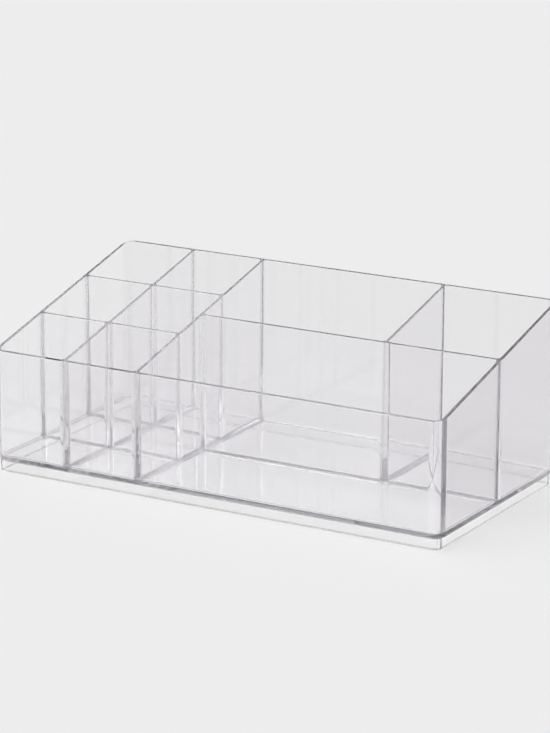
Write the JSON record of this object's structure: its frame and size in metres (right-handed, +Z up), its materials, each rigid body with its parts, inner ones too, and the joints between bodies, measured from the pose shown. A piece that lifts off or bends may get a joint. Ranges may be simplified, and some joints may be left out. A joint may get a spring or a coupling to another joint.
{
  "type": "vanity organizer",
  "caption": "Clear plastic vanity organizer: an open tub with a sloping rim, upright dividers for small cells and wide bays, on a low recessed base ring.",
  "frame": {"origin": "middle of the underside of the base ring, on the surface that the organizer stands on", "axes": "+Z up, +Y towards the high back, +X to the right when facing the low front"},
  "size_m": [0.305, 0.151, 0.1144],
  "materials": {
    "clear_plastic": "clear, polished, faint lavender cast at the edges"
  },
  "bodies": {
    "root": {"base_ring": "clear_plastic", "floor_panel": "clear_plastic", "front_wall": "clear_plastic", "back_wall": "clear_plastic", "left_wall": "clear_plastic", "right_wall": "clear_plastic", "column_divider": "clear_plastic", "main_divider": "clear_plastic", "front_row_divider": "clear_plastic", "rear_row_divider": "clear_plastic", "long_divider": "clear_plastic", "short_divider": "clear_plastic"}
  },
  "joints": []
}
